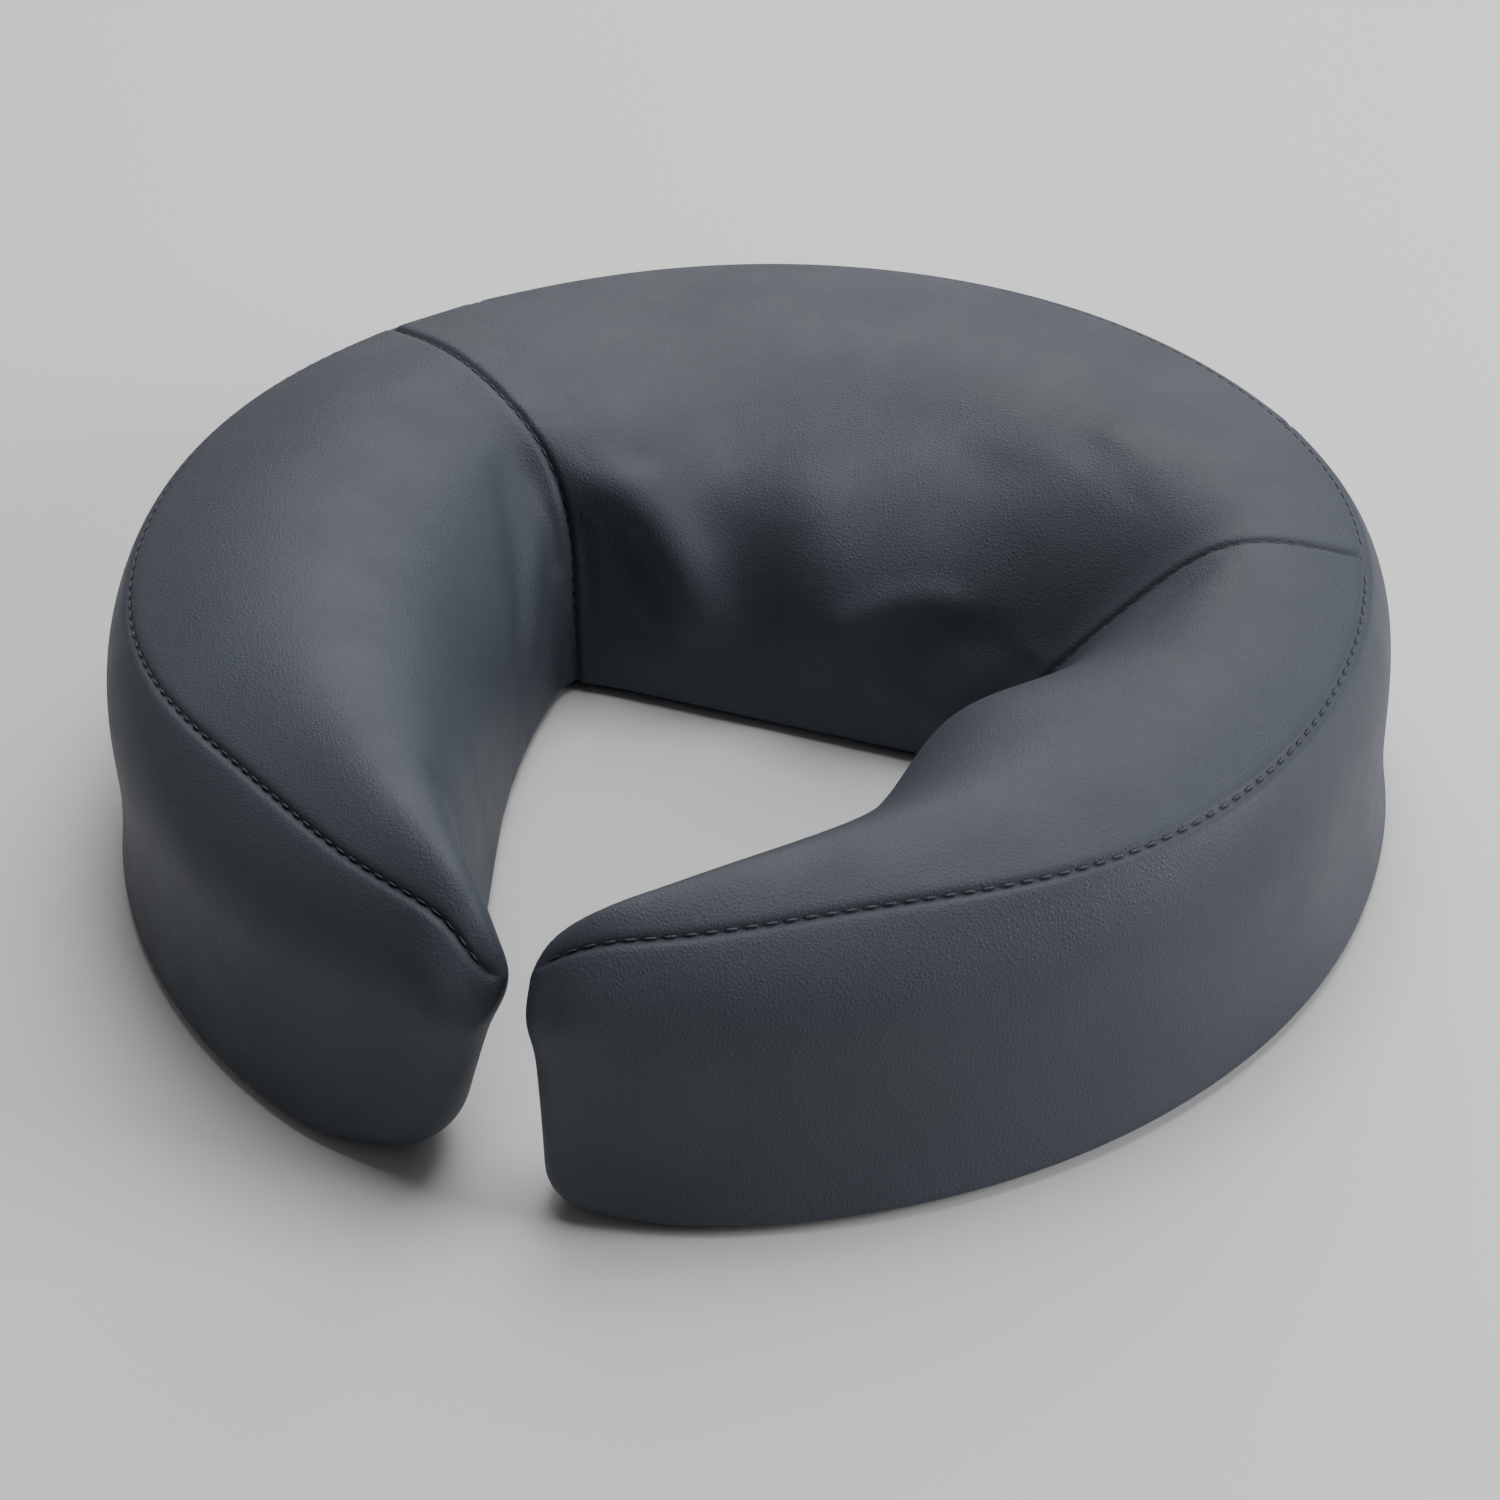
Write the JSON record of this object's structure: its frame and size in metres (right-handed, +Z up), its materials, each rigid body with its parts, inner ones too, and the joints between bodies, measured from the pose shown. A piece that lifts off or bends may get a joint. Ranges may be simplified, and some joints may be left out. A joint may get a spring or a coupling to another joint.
{
  "type": "face cradle cushion",
  "caption": "Horseshoe face cradle cushion with a leather cover, foam core, zipped back wall and hook-and-loop strips underneath.",
  "frame": {"origin": "middle of the bounding box at the underside the cushion rests on", "axes": "+Z up through the face hole, +Y towards the closed brow end, +X towards the right arm"},
  "size_m": [0.3238, 0.3315, 0.0802],
  "materials": {
    "leather": "fine-grained dark blue-grey upholstery leather, soft satin",
    "base_cloth": "brushed black loop cloth",
    "hook_tape": "black woven hook tape",
    "zip_tape": "dark woven tape",
    "zip_teeth": "moulded, satin",
    "zip_metal": "dark enamelled zinc, semi-gloss",
    "firm_foam": "open-cell foam, matt",
    "soft_foam": "slow-recovery foam, matt"
  },
  "bodies": {
    "cushion": {"cover_brow_panel": "leather", "cover_left_panel": "leather", "cover_right_panel": "leather", "boxing_left": "leather", "boxing_right": "leather", "zip_band_upper": "leather", "zip_band_lower": "leather", "zip_tape_upper": "zip_tape", "zip_tape_lower": "zip_tape", "zip_teeth_upper": "zip_teeth", "zip_teeth_lower": "zip_teeth", "zip_end_stops": "zip_metal", "base_panel": "base_cloth", "hook_strip_left": "hook_tape", "hook_strip_right": "hook_tape", "hook_strip_brow": "hook_tape", "foam_support_core": "firm_foam", "foam_comfort_layer": "soft_foam"},
    "slider": {"zip_slider": "zip_metal"},
    "pull_tab": {"zip_pull_tab": "zip_metal"}
  },
  "joints": [
    {"name": "slider_travel", "type": "hinge", "parent": "cushion", "child": "slider", "pos_m": [0, 0.00845, 0.026], "axis": [0, 0, 1], "range_deg": [0, 82]},
    {"name": "pull_swing", "type": "hinge", "parent": "slider", "child": "pull_tab", "pos_m": [0.10378, 0.12783, 0.026], "axis": [0, 0, -1], "range_deg": [0, 165]}
  ]
}
